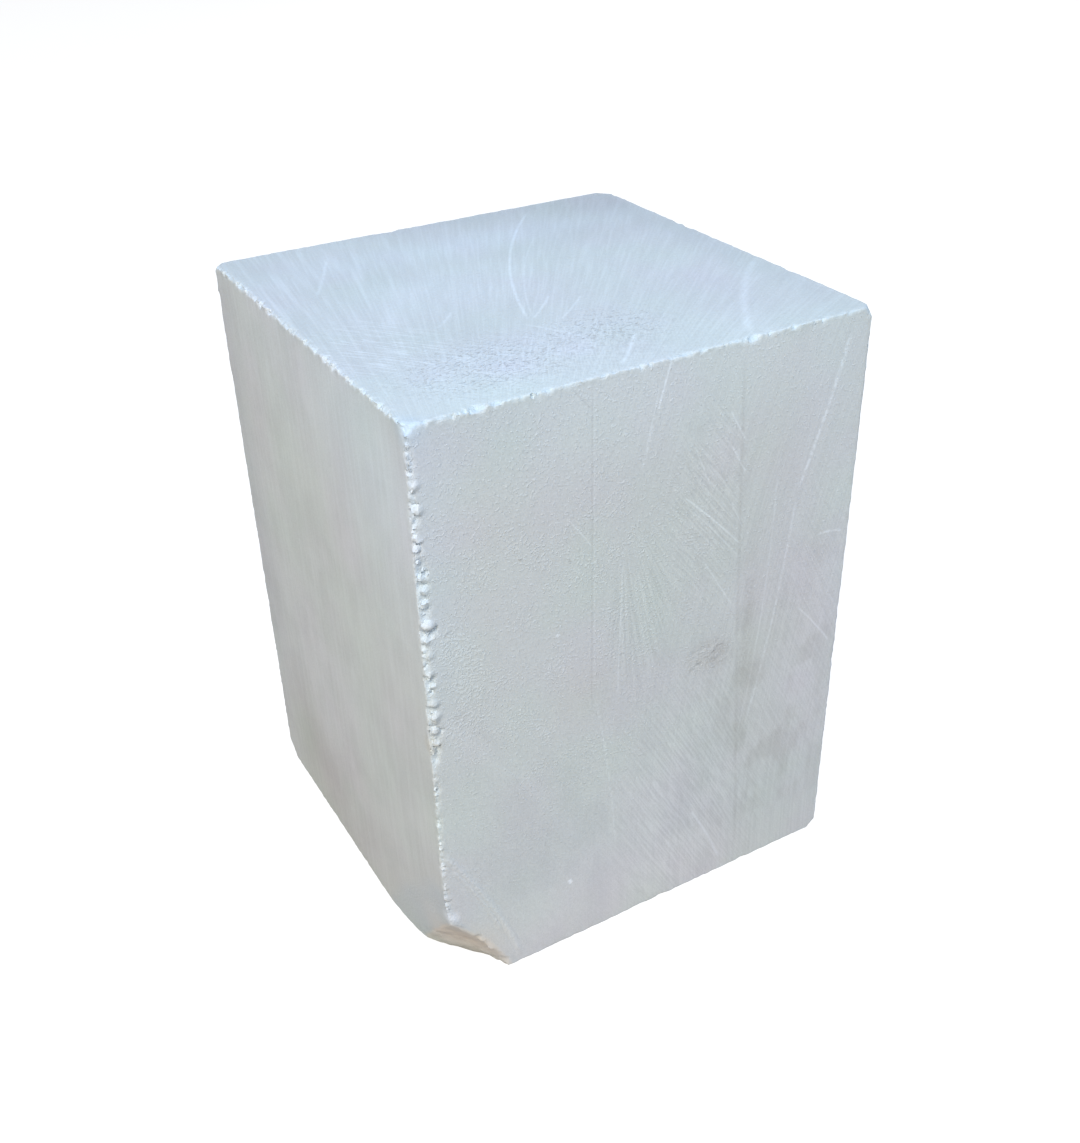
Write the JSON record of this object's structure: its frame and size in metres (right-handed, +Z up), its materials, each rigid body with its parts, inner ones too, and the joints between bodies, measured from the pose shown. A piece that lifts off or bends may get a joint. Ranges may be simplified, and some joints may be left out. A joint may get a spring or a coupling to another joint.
{
  "type": "alabaster block",
  "caption": "Upright block of sawn pale alabaster with chipped arrises and one bottom corner broken away, for carving or display.",
  "frame": {"origin": "middle of the base, on the surface the block rests on", "axes": "+Z up, along the block's longest side; -Y out of the sawn front face; the broken corner is at -X, -Y, at the base"},
  "size_m": [0.0761, 0.0731, 0.1017],
  "materials": {
    "alabaster": "matte"
  },
  "bodies": {
    "root": {"alabaster_block": "alabaster"}
  },
  "joints": []
}
